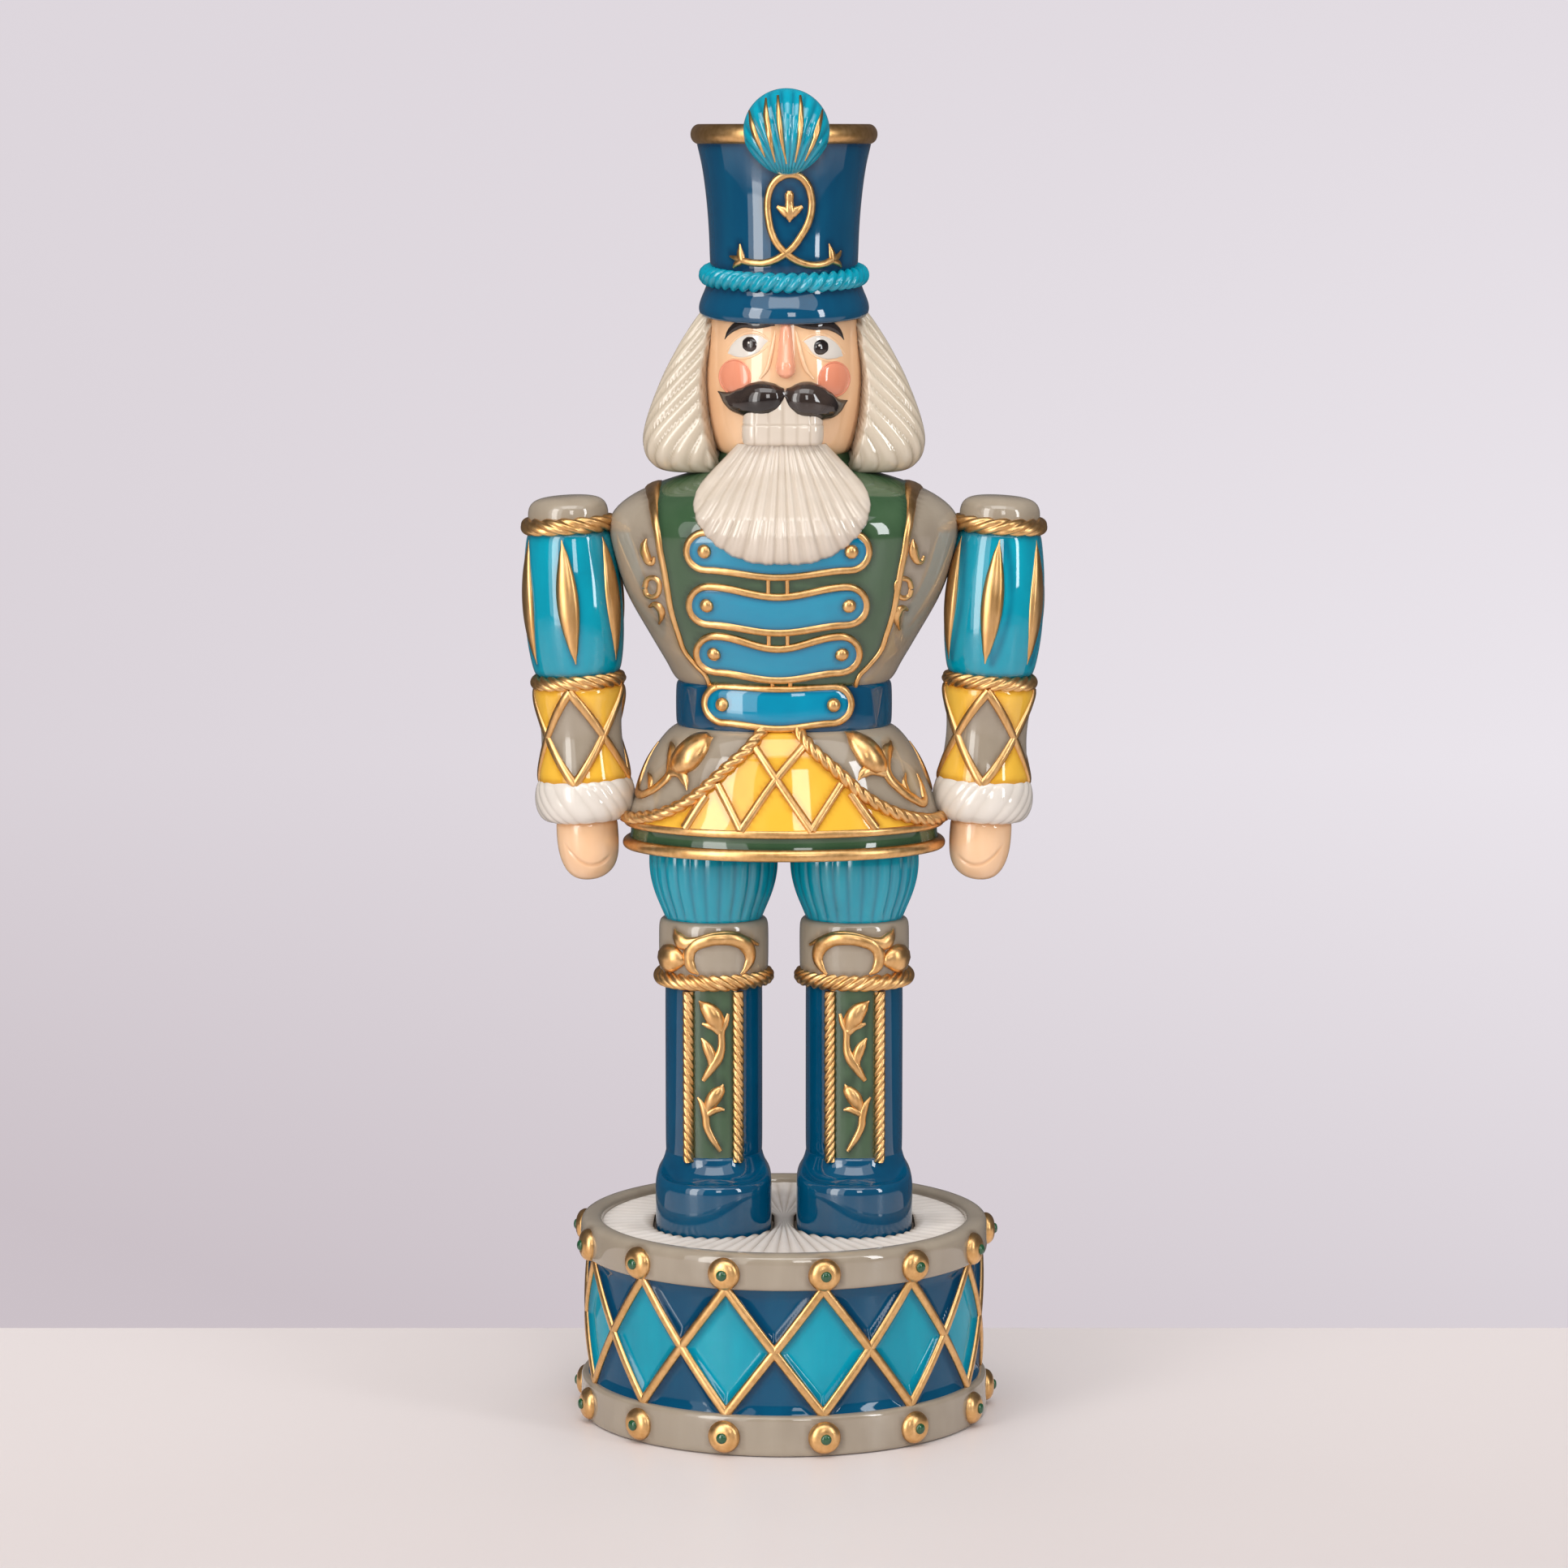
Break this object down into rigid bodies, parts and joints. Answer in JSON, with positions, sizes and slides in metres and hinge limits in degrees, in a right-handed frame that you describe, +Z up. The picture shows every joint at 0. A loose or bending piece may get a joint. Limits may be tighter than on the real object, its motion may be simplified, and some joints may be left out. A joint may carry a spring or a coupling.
{
  "type": "nutcracker figurine",
  "caption": "Glazed ceramic toy-soldier nutcracker figure standing on a round drum, with tall hat, fan beard, belted coat and straight arms.",
  "frame": {"origin": "centre of the drum's underside, on the surface it stands on", "axes": "+Z up through the hat, -Y the way the face looks, +X to the right of someone who faces it; left and right in node names are that viewer's"},
  "size_m": [0.2006, 0.161, 0.508],
  "materials": {
    "navy_glaze": "high-gloss ceramic glaze",
    "teal_glaze": "high-gloss ceramic glaze",
    "strap_blue_glaze": "high-gloss ceramic glaze",
    "green_glaze": "high-gloss ceramic glaze",
    "taupe_glaze": "high-gloss ceramic glaze",
    "yellow_glaze": "high-gloss ceramic glaze",
    "ivory_glaze": "high-gloss ceramic glaze",
    "hair_glaze": "high-gloss ceramic glaze",
    "flesh_glaze": "high-gloss ceramic glaze",
    "black_glaze": "high-gloss ceramic glaze",
    "gold_lustre": "fired gold lustre over glaze"
  },
  "bodies": {
    "root": {"beard": "ivory_glaze", "belt": "navy_glaze", "belt_plate": "strap_blue_glaze", "boot_braid_left_inner": "gold_lustre", "boot_braid_left_outer": "gold_lustre", "boot_braid_right_inner": "gold_lustre", "boot_braid_right_outer": "gold_lustre", "boot_foot_left": "navy_glaze", "boot_foot_right": "navy_glaze", "boot_panel_left": "green_glaze", "boot_panel_right": "green_glaze", "boot_shaft_left": "navy_glaze", "boot_shaft_right": "navy_glaze", "breeches_left": "teal_glaze", "breeches_right": "teal_glaze", "chest_strap_low": "strap_blue_glaze", "chest_strap_middle": "strap_blue_glaze", "chest_strap_top": "strap_blue_glaze", "coat_body": "taupe_glaze", "coat_hem": "green_glaze", "coat_skirt": "taupe_glaze", "drum_bottom_hoop": "taupe_glaze", "drum_head": "ivory_glaze", "drum_lattice": "gold_lustre", "drum_shell": "navy_glaze", "drum_top_hoop": "taupe_glaze", "elbow_rope_left": "gold_lustre", "elbow_rope_right": "gold_lustre", "face_casting": "flesh_glaze", "forearm_sleeve_left": "yellow_glaze", "forearm_sleeve_right": "yellow_glaze", "fur_cuff_left": "ivory_glaze", "fur_cuff_right": "ivory_glaze", "hair_left": "hair_glaze", "hair_right": "hair_glaze", "hand_left": "flesh_glaze", "hand_right": "flesh_glaze", "hat_badge": "gold_lustre", "hat_crown": "navy_glaze", "hat_loop": "gold_lustre", "hat_rim": "gold_lustre", "hat_rope": "teal_glaze", "hat_visor": "navy_glaze", "knee_cuff_left": "taupe_glaze", "knee_cuff_right": "taupe_glaze", "knee_rope_left": "gold_lustre", "knee_rope_right": "gold_lustre", "moustache_left": "black_glaze", "moustache_right": "black_glaze", "pompom": "teal_glaze", "shoulder_cap_left": "taupe_glaze", "shoulder_cap_right": "taupe_glaze", "shoulder_rope_left": "gold_lustre", "shoulder_rope_right": "gold_lustre", "skirt_rope_left": "gold_lustre", "skirt_rope_right": "gold_lustre", "teeth": "ivory_glaze", "upper_sleeve_left": "teal_glaze", "upper_sleeve_right": "teal_glaze"}
  },
  "joints": []
}
